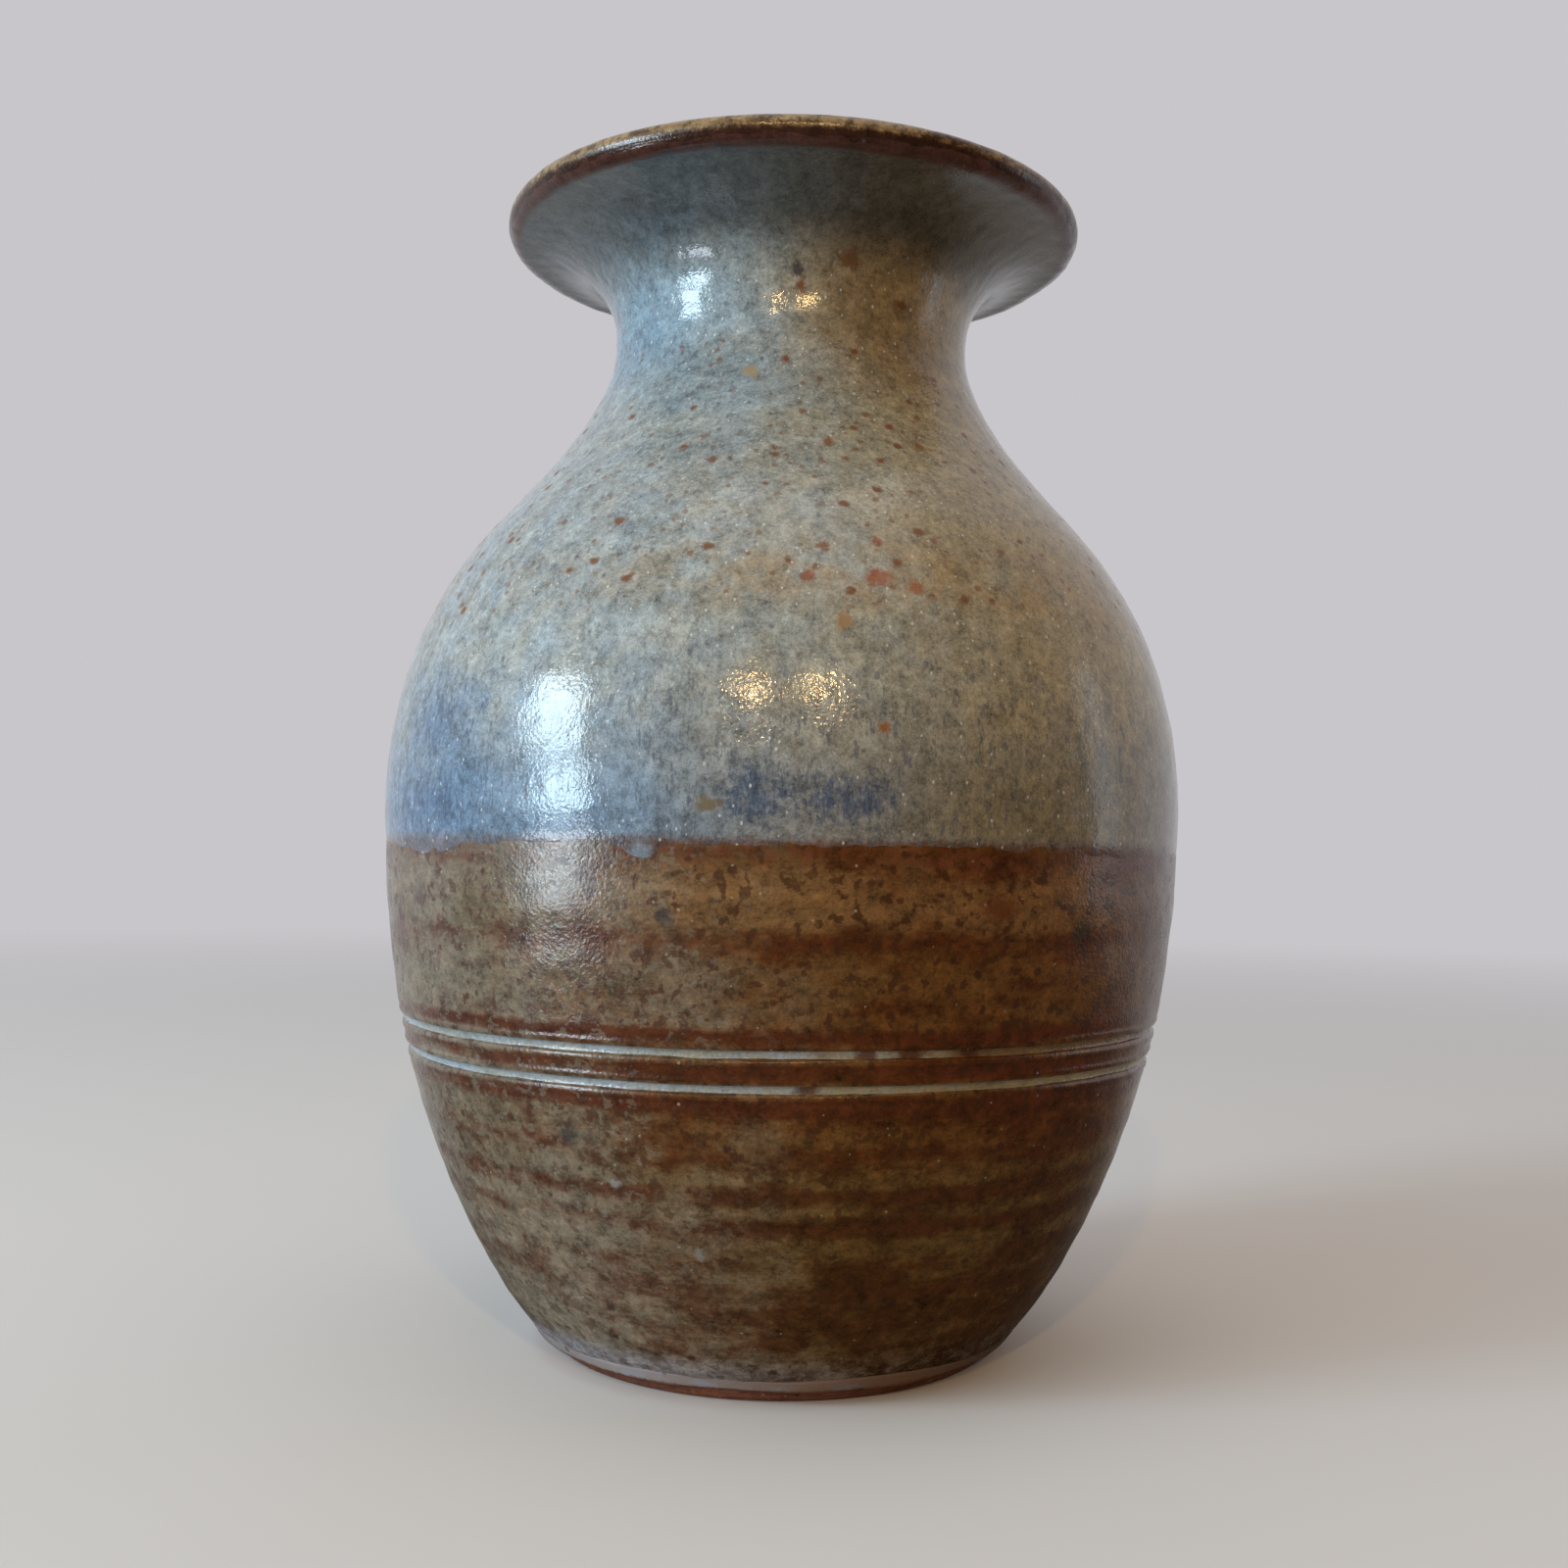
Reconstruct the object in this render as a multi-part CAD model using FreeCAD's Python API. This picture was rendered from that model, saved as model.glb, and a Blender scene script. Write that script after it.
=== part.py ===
import FreeCAD
import Part
import math
import os

# Wheel-thrown stoneware vase with fused glaze coats, millimetres.
# Z is the turning axis and Z = 0 is the table under the foot ring.
# Every sub-part is a turned shape: a flat section in the XZ plane (X = radius)
# swept a full turn about Z.

# ---- foot ----
FOOT_EDGE_START = 21.7
FOOT_EDGE_MID = (22.42, 0.22)
RECESS_RADIUS = 17.8
RECESS_FLOOR_RADIUS = 16.2
RECESS_DEPTH = 1.6

# ---- clay wall: height, radius of the clay face, wall thickness ----
WALL = [
    (0.7, 22.9, 5.5),
    (4.4, 26.0, 5.5),
    (12.0, 30.7, 5.5),
    (26.0, 36.4, 5.0),
    (41.0, 39.55, 4.5),
    (55.0, 40.2, 4.2),
    (68.0, 38.1, 4.0),
    (79.0, 32.6, 3.9),
    (89.0, 24.2, 3.8),
    (96.5, 19.45, 3.6),
    (100.5, 18.1, 3.5),
]
THROAT_HEIGHT = 103.5
THROAT_RADIUS = 17.9
THROAT_THICKNESS = 3.4

# ---- flared mouth and lip ----
FLARE_RADIUS = 10.4
LIP_CENTRE_RADIUS = 28.86
LIP_CENTRE_HEIGHT = 114.78
LIP_ROUND = 0.87

# ---- inside ----
FLOOR_HEIGHT = 7.6
FIRST_INNER_POINT = 2

# ---- glaze coats ----
BASE_COAT = 0.35
TOP_COAT = 0.30
OVERLAP_HEIGHT = 49.95
TOP_COAT_END_RADIUS = 27.6
OVERLAP_ROLL_RADIUS = 1.1
OVERLAP_ROLL_PROUD = 0.42

# ---- incised grooves ----
GROOVE_HEIGHTS = {"groove_glaze_lower": 30.41, "groove_glaze_upper": 33.33}
GROOVE_HALF_WIDTH = 0.75
GROOVE_DEPTH = 0.70
GROOVE_WALL_SLOPE = 0.36
GROOVE_LINING = 0.30
POOL_LEVEL = 0.10

# ---- pooled glaze along the lower edge ----
ROLL_HEIGHT = 2.3
ROLL_RADIUS = 1.6
ROLL_PROUD = 0.5


def point(radius, height):
    return FreeCAD.Vector(radius, 0, height)


def line(start, end):
    return Part.LineSegment(start, end).toShape()


def arc(start, middle, end):
    return Part.Arc(start, middle, end).toShape()


def closed_face(edges):
    return Part.Face(Part.Wire(edges))


def disc(centre, radius):
    circle = Part.Circle(centre, FreeCAD.Vector(0, -1, 0), radius)
    return Part.Face(Part.Wire([circle.toShape()]))


def box_face(radius_low, radius_high, low, high):
    corners = [
        point(radius_low, low),
        point(radius_high, low),
        point(radius_high, high),
        point(radius_low, high),
    ]
    corners.append(corners[0])
    return Part.Face(Part.makePolygon(corners))


def turned(section):
    """Sweep a flat section a full turn about the vase's axis."""
    solid = section.revolve(FreeCAD.Vector(0, 0, 0), FreeCAD.Vector(0, 0, 1), 360)
    return solid.Solids[0]


def spline(points):
    curve = Part.BSplineCurve()
    curve.interpolate(points)
    return curve


def clay_wall():
    """The clay's outer face from the foot edge up to the throat."""
    points = [point(radius, height) for height, radius, thickness in WALL]
    points.append(point(THROAT_RADIUS, THROAT_HEIGHT))
    return spline(points)


def stepped_off(curve, where, distance):
    """The curve's nearest point to where, moved along the outward normal."""
    place = curve.parameter(where)
    along = curve.tangent(place)[0]
    outward = FreeCAD.Vector(along.z, 0, -along.x)
    return curve.value(place) + outward * distance


def wall_at(height):
    """Point of the clay's outer face at a height, found along the wall curve."""
    curve = clay_wall()
    level = Part.LineSegment(point(0, height), point(60, height))
    hit = curve.intersect(level)[0]
    return point(hit.X, hit.Z)


def offset_wall(out):
    """The outer wall curve moved outward by out, as a smooth curve."""
    curve = clay_wall()
    low = curve.FirstParameter
    high = curve.LastParameter
    count = 24
    points = []
    for step in range(count + 1):
        place = low + (high - low) * step / count
        points.append(stepped_off(curve, curve.value(place), out))
    return spline(points)


def outer_fill(out):
    """Everything inside the vase's outer face, that face moved outward by out."""
    wall = clay_wall() if out == 0 else offset_wall(out)
    foot_top = wall.StartPoint
    throat = wall.EndPoint
    flare = FLARE_RADIUS - out
    flare_centre = THROAT_RADIUS + FLARE_RADIUS
    flare_top = point(flare_centre, THROAT_HEIGHT + flare)
    slant = flare * math.sqrt(0.5)
    flare_middle = point(flare_centre - slant, THROAT_HEIGHT + slant)
    round_radius = LIP_ROUND + out
    lip_low = point(LIP_CENTRE_RADIUS, LIP_CENTRE_HEIGHT - round_radius)
    lip_out = point(LIP_CENTRE_RADIUS + round_radius, LIP_CENTRE_HEIGHT)
    lip_high = point(LIP_CENTRE_RADIUS, LIP_CENTRE_HEIGHT + round_radius)
    foot_start = point(FOOT_EDGE_START + out, 0)
    foot_middle = point(FOOT_EDGE_MID[0] + out, FOOT_EDGE_MID[1])
    return closed_face([
        line(point(0, 0), foot_start),
        arc(foot_start, foot_middle, foot_top),
        wall.toShape(),
        arc(throat, flare_middle, flare_top),
        line(flare_top, lip_low),
        arc(lip_low, lip_out, lip_high),
        line(lip_high, point(0, lip_high.z)),
        line(point(0, lip_high.z), point(0, 0)),
    ])


def floor_round(floor, wall_start, slope):
    """Arc rising from the flat floor to the wall's first point, tangent to both."""
    turn = math.atan2(slope.z, slope.x)
    radius = (wall_start.z - floor) / (1 - math.cos(turn))
    flat_end = wall_start.x - radius * math.sin(turn)
    middle = point(
        flat_end + radius * math.sin(turn / 2),
        floor + radius * (1 - math.cos(turn / 2)),
    )
    return arc(point(flat_end, floor), middle, wall_start), point(flat_end, floor)


def mouth_arc(throat, crest):
    """Quarter ellipse from the upright throat out to the level top of the lip."""
    centre = point(crest.x, throat.z)
    ellipse = Part.Ellipse(throat, crest, centre)
    return Part.ArcOfEllipse(ellipse, 0, math.pi / 2).toShape()


def cavity(coat):
    """The hollow, with its wall moved inward by the thickness of a coat."""
    wall = clay_wall()
    points = []
    for height, radius, thickness in WALL[FIRST_INNER_POINT:]:
        points.append(stepped_off(wall, point(radius, height), -thickness - coat))
    throat = point(THROAT_RADIUS - THROAT_THICKNESS - coat, THROAT_HEIGHT)
    points.append(throat)
    inner_wall = spline(points)
    slope = inner_wall.tangent(inner_wall.FirstParameter)[0]
    floor = FLOOR_HEIGHT + coat
    corner, flat_end = floor_round(floor, points[0], slope)
    crest = point(LIP_CENTRE_RADIUS, LIP_CENTRE_HEIGHT + LIP_ROUND + coat)
    top = LIP_CENTRE_HEIGHT + 6
    return closed_face([
        line(point(0, floor), flat_end),
        corner,
        inner_wall.toShape(),
        mouth_arc(throat, crest),
        line(crest, point(crest.x, top)),
        line(point(crest.x, top), point(0, top)),
        line(point(0, top), point(0, floor)),
    ])


def foot_recess():
    """Shallow hollow trimmed out of the underside, leaving the foot ring."""
    rim = point(RECESS_RADIUS, 0)
    middle = point(RECESS_RADIUS - 0.4, RECESS_DEPTH * 0.72)
    inner = point(RECESS_FLOOR_RADIUS, RECESS_DEPTH)
    return closed_face([
        line(point(0, -1), point(RECESS_RADIUS, -1)),
        line(point(RECESS_RADIUS, -1), rim),
        arc(rim, middle, inner),
        line(inner, point(0, RECESS_DEPTH)),
        line(point(0, RECESS_DEPTH), point(0, -1)),
    ])


def groove_face(height, lining):
    """Section of the tool that cuts one groove: a flat floor and leaning walls.

    A lining pulls the floor and both walls in by that thickness.
    """
    wall = clay_wall()
    centre = wall_at(height)
    reach = 1.5
    half_width = GROOVE_HALF_WIDTH - lining * math.hypot(1, GROOVE_WALL_SLOPE)
    depth = GROOVE_DEPTH - lining
    half_floor = half_width - GROOVE_WALL_SLOPE * depth
    half_top = half_width + GROOVE_WALL_SLOPE * reach
    along = wall.tangent(wall.parameter(centre))[0]
    outside = stepped_off(wall, centre, reach)
    floor = stepped_off(wall, centre, -depth)
    corners = [
        floor - along * half_floor,
        outside - along * half_top,
        outside + along * half_top,
        floor + along * half_floor,
    ]
    corners.append(corners[0])
    return Part.Face(Part.makePolygon(corners))


def foot_roll_disc():
    """Round section of the pooled glaze just above the bare foot."""
    wall = clay_wall()
    inset = ROLL_PROUD - ROLL_RADIUS
    return disc(stepped_off(wall, wall_at(ROLL_HEIGHT), inset), ROLL_RADIUS)


def clay_section():
    """Clay cut by the hollow, the foot recess and both grooves."""
    tools = [cavity(0), foot_recess()]
    for height in GROOVE_HEIGHTS.values():
        tools.append(groove_face(height, 0))
    return outer_fill(0).cut(tools).Faces[0]


def largest(section):
    """The biggest face of a flat section."""
    return max(section.Faces, key=lambda face: face.Area)


def clay_body():
    """The thrown and trimmed pot: wall, floor, foot ring, flared mouth."""
    return turned(clay_section())


def base_glaze():
    """Brown coat over the whole outside, lining both grooves."""
    tools = [clay_section(), cavity(0), foot_roll_disc()]
    tools.append(box_face(0, 60, -1, ROLL_HEIGHT))
    for height in GROOVE_HEIGHTS.values():
        tools.append(groove_face(height, GROOVE_LINING))
    return turned(largest(outer_fill(BASE_COAT).cut(tools)))


def top_glaze():
    """Second coat, from a rolled edge at the overlap line up to the lip."""
    roll_height = OVERLAP_HEIGHT + OVERLAP_ROLL_RADIUS
    brown = outer_fill(BASE_COAT)
    whole_coat = outer_fill(BASE_COAT + TOP_COAT).cut(brown)
    above = box_face(0, 60, roll_height, LIP_CENTRE_HEIGHT - LIP_ROUND)
    lip = box_face(TOP_COAT_END_RADIUS, 60, THROAT_HEIGHT, LIP_CENTRE_HEIGHT + 6)
    coat = largest(whole_coat.common(above).cut(lip))
    inset = BASE_COAT + OVERLAP_ROLL_PROUD - OVERLAP_ROLL_RADIUS
    centre = stepped_off(clay_wall(), wall_at(roll_height), inset)
    roll = largest(disc(centre, OVERLAP_ROLL_RADIUS).cut(brown))
    return turned(coat).fuse(turned(roll)).removeSplitter().Solids[0]


def liner_glaze():
    """Coat over the inside, from the floor up to the crest of the lip."""
    return turned(largest(cavity(0).cut(cavity(BASE_COAT))))


def groove_glaze(height):
    """Pale glaze pooled in one groove, its top a little below the brown coat."""
    pool = groove_face(height, GROOVE_LINING)
    return turned(largest(pool.common(outer_fill(POOL_LEVEL))))


def foot_glaze_roll():
    """Pale bead of glaze that ran down and stopped above the bare foot."""
    return turned(largest(foot_roll_disc().cut(clay_section())))


def build():
    parts = {
        "clay_body": clay_body(),
        "base_glaze": base_glaze(),
        "top_glaze": top_glaze(),
        "liner_glaze": liner_glaze(),
        "foot_glaze_roll": foot_glaze_roll(),
    }
    for name, height in GROOVE_HEIGHTS.items():
        parts[name] = groove_glaze(height)
    os.makedirs("parts", exist_ok=True)
    for name, shape in parts.items():
        shape.exportStep("parts/" + name + ".step")


build()
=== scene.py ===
import math

import bpy
import numpy as np
from mathutils import Matrix, Vector

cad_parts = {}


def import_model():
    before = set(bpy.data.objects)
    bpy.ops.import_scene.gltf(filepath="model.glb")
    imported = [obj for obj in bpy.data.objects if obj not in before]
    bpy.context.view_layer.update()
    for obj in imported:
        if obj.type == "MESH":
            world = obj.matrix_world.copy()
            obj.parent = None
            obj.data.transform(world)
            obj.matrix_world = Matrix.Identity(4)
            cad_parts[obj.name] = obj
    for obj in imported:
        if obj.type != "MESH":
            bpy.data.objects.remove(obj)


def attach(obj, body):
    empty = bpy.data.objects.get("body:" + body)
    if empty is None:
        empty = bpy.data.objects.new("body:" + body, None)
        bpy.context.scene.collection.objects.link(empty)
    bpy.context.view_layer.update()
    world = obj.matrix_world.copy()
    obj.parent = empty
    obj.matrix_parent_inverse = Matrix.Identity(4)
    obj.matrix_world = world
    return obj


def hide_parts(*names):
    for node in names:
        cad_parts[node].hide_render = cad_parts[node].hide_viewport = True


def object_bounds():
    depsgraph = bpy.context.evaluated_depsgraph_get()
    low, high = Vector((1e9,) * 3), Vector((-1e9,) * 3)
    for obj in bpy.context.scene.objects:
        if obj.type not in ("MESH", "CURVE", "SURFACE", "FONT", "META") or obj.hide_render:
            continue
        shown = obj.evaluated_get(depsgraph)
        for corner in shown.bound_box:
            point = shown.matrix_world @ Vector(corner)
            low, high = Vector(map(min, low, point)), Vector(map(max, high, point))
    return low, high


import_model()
CAD_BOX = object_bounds()

# Lengths are millimetres, turned into metres when a mesh is made. Only the stage, the
# lights, the camera and bump distances are in metres. Azimuth 0 faces the camera (-Y)
# and grows towards +X. A station is a distance along the clay's outline from its foot.

MM = 0.001
HEIGHT = 116.0

# The outline and coats repeat the CAD's dimensions. WALL is (radius, height).
WALL = [
    (22.9, 0.7), (26.0, 4.4), (30.7, 12.0), (36.4, 26.0), (39.55, 41.0), (40.2, 55.0),
    (38.1, 68.0), (32.6, 79.0), (24.2, 89.0), (19.45, 96.5), (18.1, 100.5), (17.9, 103.5),
]
WALL_THICKNESS = [5.5, 5.5, 5.5, 5.0, 4.5, 4.2, 4.0, 3.9, 3.8, 3.6, 3.5, 3.4]
FIRST_INNER = 2
FOOT_EDGE = [(21.7, 0.0), (22.05, 0.04), (22.42, 0.2), (22.7, 0.45)]
FLARE_RADIUS = 10.4
LIP_CENTRE = (28.86, 114.78)
LIP_ROUND = 0.87
LIP_POINTS = 90
FLOOR_HEIGHT = 7.6
BASE_COAT = 0.35
TOP_COAT = 0.30
OVERLAP = 50.2
GROOVES = {"groove_glaze_lower": 30.41, "groove_glaze_upper": 33.33}
FOOT_RECESS = [
    (20.6, 0.0), (19.2, 0.03), (18.1, 0.0), (17.75, 0.35), (17.35, 1.05), (16.7, 1.5),
    (15.6, 1.62), (13.8, 1.52), (12.2, 1.66), (10.2, 1.54), (8.0, 1.66), (5.6, 1.56),
    (3.2, 1.67), (1.2, 1.6),
]
RECESS_DEPTH = 1.6

# Unevenness of the hand-thrown wall: (height, half width, millimetres proud).
RIDGES = [
    (45.6, 1.3, 0.04), (42.3, 1.3, -0.05), (35.2, 0.8, 0.07), (28.7, 0.7, 0.05),
    (71.5, 2.0, 0.05), (84.0, 2.5, -0.04),
]
# Where the second coat's lower edge hangs or rides up: (azimuth, half width, millimetres).
EDGE_RUNS = [
    (-54, 9.5, -0.95), (-16.3, 2.8, -1.0), (-31, 9, 0.25), (12, 14, 0.15), (54, 7, -0.35),
]
TURNING_RINGS = (24.6, 20.6, 17.0, 13.2, 9.4, 6.3)
OVAL = 0.0018
LEAN = (0.30, 0.12)
LIP_TILT = 0.14

# Mesh columns round the vase. The brown coat has the most rows, so it has fewer columns.
COLUMNS = 448
BROWN_COLUMNS = 416
LINER_COLUMNS = 256
CLAY_COLUMNS = 224

GROOVE_HALF, GROOVE_WALL, GROOVE_DEPTH = 0.42, 0.22, 0.66
BED_HALF, BED_WALL, BED_DEPTH = 0.98, 0.4, 0.60
POOL_HALF, POOL_BOTTOM_HALF, POOL_BOTTOM = 0.40, 0.27, -0.36


# ---------------------------------------------------------------- outline

def natural_spline(points, count):
    """Natural cubic spline by chord length, as the CAD's wall."""
    p = np.array(points, float)
    t = np.r_[0, np.cumsum(np.linalg.norm(np.diff(p, axis=0), axis=1))]
    n = len(t)
    h = np.diff(t)
    a = np.eye(n)
    b = np.zeros((n, 2))
    for i in range(1, n - 1):
        a[i, i - 1:i + 2] = h[i - 1], 2 * (h[i - 1] + h[i]), h[i]
        b[i] = 6 * ((p[i + 1] - p[i]) / h[i] - (p[i] - p[i - 1]) / h[i - 1])
    m = np.linalg.solve(a, b)
    u = np.linspace(0, t[-1], count)
    k = np.clip(np.searchsorted(t, u) - 1, 0, n - 2)
    lo, hi = (t[k + 1] - u)[:, None], (u - t[k])[:, None]
    w = h[k][:, None]
    return (
        (m[k] * lo**3 + m[k + 1] * hi**3) / (6 * w)
        + (p[k] / w - m[k] * w / 6) * lo
        + (p[k + 1] / w - m[k + 1] * w / 6) * hi
    )


def normals_of(line):
    """Unit normals to the right of the way along a line."""
    along = np.gradient(line, axis=0)
    along /= np.linalg.norm(along, axis=1)[:, None]
    return np.c_[along[:, 1], -along[:, 0]]


def ellipse(centre, across, rise, start, end, count):
    """Points on an ellipse's arc, from a start angle to an end angle in radians."""
    a = np.linspace(start, end, count)
    return np.c_[centre[0] + across * np.cos(a), centre[1] + rise * np.sin(a)]


def clay_outline():
    """Clay's outline from the foot, up the outside, over the lip, down to the floor."""
    wall = natural_spline(WALL, 1600)
    foot = np.array(FOOT_EDGE)
    throat_r, throat_z = WALL[-1]
    flare_c = (throat_r + FLARE_RADIUS, throat_z)
    flare = ellipse(flare_c, FLARE_RADIUS, FLARE_RADIUS, math.pi, math.pi / 2, 260)
    lip = ellipse(LIP_CENTRE, LIP_ROUND, LIP_ROUND, -math.pi / 2, math.pi / 2, LIP_POINTS)
    outward = normals_of(wall)
    moved = []
    for (r, z), thick in list(zip(WALL, WALL_THICKNESS))[FIRST_INNER:]:
        k = np.argmin(np.hypot(wall[:, 0] - r, wall[:, 1] - z))
        moved.append(wall[k] - outward[k] * thick)
    inner = natural_spline(moved, 1500)[::-1]
    crest = (LIP_CENTRE[0], LIP_CENTRE[1] + LIP_ROUND)
    throat = inner[0]
    mouth = ellipse(
        (crest[0], throat[1]), crest[0] - throat[0], crest[1] - throat[1],
        math.pi / 2, math.pi, 300,
    )
    last = inner[-1]
    way = inner[-2] - inner[-1]
    turn = math.atan2(way[1], way[0])
    radius = (last[1] - FLOOR_HEIGHT) / (1 - math.cos(turn))
    flat_end = last[0] - radius * math.sin(turn)
    corner = ellipse(
        (flat_end, FLOOR_HEIGHT + radius), radius, radius,
        turn - math.pi / 2, -math.pi / 2, 120,
    )
    floor = np.c_[np.linspace(flat_end, 0, 60), np.full(60, FLOOR_HEIGHT)]
    runs = [foot, wall, flare[1:], lip, mouth[1:], inner[1:], corner[1:], floor[1:]]
    line = np.vstack(runs)
    return line, sum(len(q) for q in runs[:3]) + LIP_POINTS // 2


LINE, LIP_MIDDLE = clay_outline()
STATION = np.r_[0, np.cumsum(np.linalg.norm(np.diff(LINE, axis=0), axis=1))]
NORMAL = normals_of(LINE)
S_CREST = STATION[LIP_MIDDLE + LIP_POINTS // 2]
S_END = STATION[-1]


def station(height):
    """Distance along the outline to a height on the outside."""
    part = slice(0, LIP_MIDDLE)
    return float(np.interp(height, LINE[part, 1], STATION[part]))


def at(s, column):
    """A column of the outline's values at stations s."""
    return np.interp(s, STATION, column)


# ---------------------------------------------------------------- hand-made unevenness

def bump(value, centre, width):
    """Bell curve: 1 at the centre, fading over the width."""
    return np.exp(-(((value - centre) / width) ** 2))


def ripple(seed, count, turns, wave, a, s):
    """Smooth noise over azimuth a (radians) and station s, closed round the vase."""
    rng = np.random.default_rng(seed)
    total = 0
    for _ in range(count):
        m = rng.integers(1, turns + 1)
        total = total + np.sin(m * a + s * rng.uniform(-1, 1) * wave + rng.uniform(0, 6.28))
    return total / math.sqrt(count)


def thrown(s, a):
    """Throwing and turning marks on the outside, as millimetres proud of the outline."""
    z = at(s, LINE[:, 1])
    inside = 1 / (1 + np.exp(-(s - S_CREST) / 1.2))
    marks = 0.011 * np.sin(2 * math.pi * s / 6.1 + a + 0.5 * ripple(3, 4, 3, 0.02, a, s))
    marks = marks + 0.004 * np.sin(2 * math.pi * s / 2.3 + a)
    for height, width, proud in RIDGES:
        marks = marks + proud * bump(z, height, width)
    for k, ring in enumerate(TURNING_RINGS):
        marks = marks + 0.05 * bump(z + 0.25 * np.sin(a + k), ring, 0.75)
    marks = marks * (1 - np.clip((z - 104) / 8, 0, 0.8))
    marks = marks + 0.02 * ripple(5, 9, 9, 0.5, a, s)
    deep = 0.09 * np.sin(2 * math.pi * s / 6.4 - a) * np.clip((s - S_CREST) / 14, 0, 1)
    return marks * (1 - inside) + deep * inside * np.clip((S_END - s) / 10, 0, 1)


def placed(s, a, proud):
    """Points (metres) standing proud of the clay outline at station s and azimuth a.

    The pot is a little oval, leans, and its lip is tilted, as hand-thrown ones are.
    """
    up = proud + thrown(s, a) * np.clip(s / 3.0, 0, 1)
    r = at(s, LINE[:, 0]) + at(s, NORMAL[:, 0]) * up
    z = at(s, LINE[:, 1]) + at(s, NORMAL[:, 1]) * up
    high = np.clip(z / HEIGHT, 0, 1)
    r = np.maximum(r, 0) * (1 + OVAL * high * np.cos(2 * a + 0.9))
    z = z + LIP_TILT * high**6 * np.sin(a + 2.1) * np.clip(r / 20, 0, 1)
    x = r * np.sin(a) + LEAN[0] * high**2
    y = -r * np.cos(a) + LEAN[1] * high**2
    return np.stack([x, y, z], -1) * MM


# ---------------------------------------------------------------- meshes

def mesh_of(name, rings):
    """A closed turned mesh. Each ring is (n, 3), or (3,) for a pole on the axis.

    Rings are joined in order, up the outside and down the inside, so that faces turn
    outward. With no pole the last ring joins the first.
    """
    verts, starts = [], []
    for ring in rings:
        starts.append(sum(len(v) for v in verts))
        verts.append(np.atleast_2d(ring))
    n = max(len(v) for v in verts)
    cols = np.arange(n)
    nxt = (cols + 1) % n
    faces = []
    pairs = list(zip(range(len(rings) - 1), range(1, len(rings))))
    if all(len(v) == n for v in verts):
        pairs.append((len(rings) - 1, 0))
    for i, j in pairs:
        a, b = starts[i], starts[j]
        if len(verts[i]) == 1:
            faces.append(np.c_[np.full(n, a), b + nxt, b + cols])
        elif len(verts[j]) == 1:
            faces.append(np.c_[a + cols, a + nxt, np.full(n, b)])
        else:
            faces.append(np.c_[a + cols, a + nxt, b + nxt, b + cols])
    data = bpy.data.meshes.new(name)
    data.from_pydata(np.vstack(verts).tolist(), [], [f for q in faces for f in q.tolist()])
    data.polygons.foreach_set("use_smooth", [True] * len(data.polygons))
    data.update()
    piece = bpy.data.objects.new(name, data)
    bpy.context.scene.collection.objects.link(piece)
    return piece


def steps(*stretches):
    """Stations along several stretches, each (start, end, spacing)."""
    out = []
    for start, end, gap in stretches:
        out.extend(np.linspace(start, end, max(2, round(abs(end - start) / gap) + 1))[:-1])
    return np.array(out + [stretches[-1][1]])


def round_the_vase(count):
    """Azimuths in radians of a mesh's columns."""
    return -math.pi + 2 * math.pi * np.arange(count) / count


def coat(name, stations, proud, back, behind, columns=COLUMNS):
    """A closed coat of glaze over a stretch of the outline.

    stations(a) gives its rows, proud(s, a) its outer face and back(s, a) its inner face,
    which has rows at the fractions in behind.
    """
    a = round_the_vase(columns)
    s = stations(a)
    rings = [placed(row, a, proud(row, a)) for row in s]
    for f in behind:
        line = s[0] + (s[-1] - s[0]) * f
        rings.append(placed(line, a, back(line, a)))
    return mesh_of(name, rings)


def edge_height(a):
    """Height of the second coat's lower edge: level, with slow waves and a few runs."""
    d = np.degrees(a)
    z = OVERLAP + 0.10 * ripple(11, 6, 9, 0, a, 0) + 0.10 * ripple(12, 14, 70, 0, a, 0)
    z = z + 0.10 * ripple(13, 20, 150, 0, a, 0)
    for azimuth, width, rise in EDGE_RUNS:
        z = z + rise * bump(d, azimuth, width)
    far = np.clip((np.abs(d) - 80) / 30, 0, 1)
    return z + far * (0.45 * np.sin(3 * a + 1) + 0.3 * np.sin(7 * a) - 0.5 * bump(d, 141, 4))


def build_clay():
    """The pot: from the floor inside, over the lip, down the wall and under the foot."""
    a = round_the_vase(CLAY_COLUMNS)
    g0, g1 = (station(z) for z in GROOVES.values())
    s = steps(
        (S_END, S_CREST, 2.6), (S_CREST, g1 + 1.2, 2.6), (g1 + 1.2, g0 - 1.2, 0.3),
        (g0 - 1.2, station(4), 2.6), (station(4), 0, 0.16),
    )
    one = np.ones_like(a)
    rings = [np.array([0, 0, FLOOR_HEIGHT * MM])]
    rings += [placed(v * one, a, -0.02 - groove_bed(v * one, a)) for v in s[1:]]
    for r, z in natural_spline(FOOT_RECESS, 70):
        wave = np.maximum(z + 0.03 * np.sin(3 * a + r) * min(1.0, z), 0)
        rings.append(np.stack([r * np.sin(a), -r * np.cos(a), wave], -1) * MM)
    rings.append(np.array([0, 0, RECESS_DEPTH * MM]))
    return mesh_of("stoneware_body", rings[::-1])


def groove_off(s, a, k, height):
    """Distance from the wavering middle of a groove."""
    return np.abs(s - station(height) - 0.06 * np.sin(a * 2 + k) - 0.03 * np.sin(9 * a))


def groove_dip(s, a):
    """Depth of the two incised grooves in the brown coat, with raised lips beside them."""
    dip = 0
    for k, height in enumerate(GROOVES.values()):
        off = groove_off(s, a, k, height)
        cut = np.clip((GROOVE_HALF - off) / GROOVE_WALL, 0, 1)
        dip = dip + GROOVE_DEPTH * cut - 0.10 * bump(off, 0.78, 0.26)
    return dip


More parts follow.
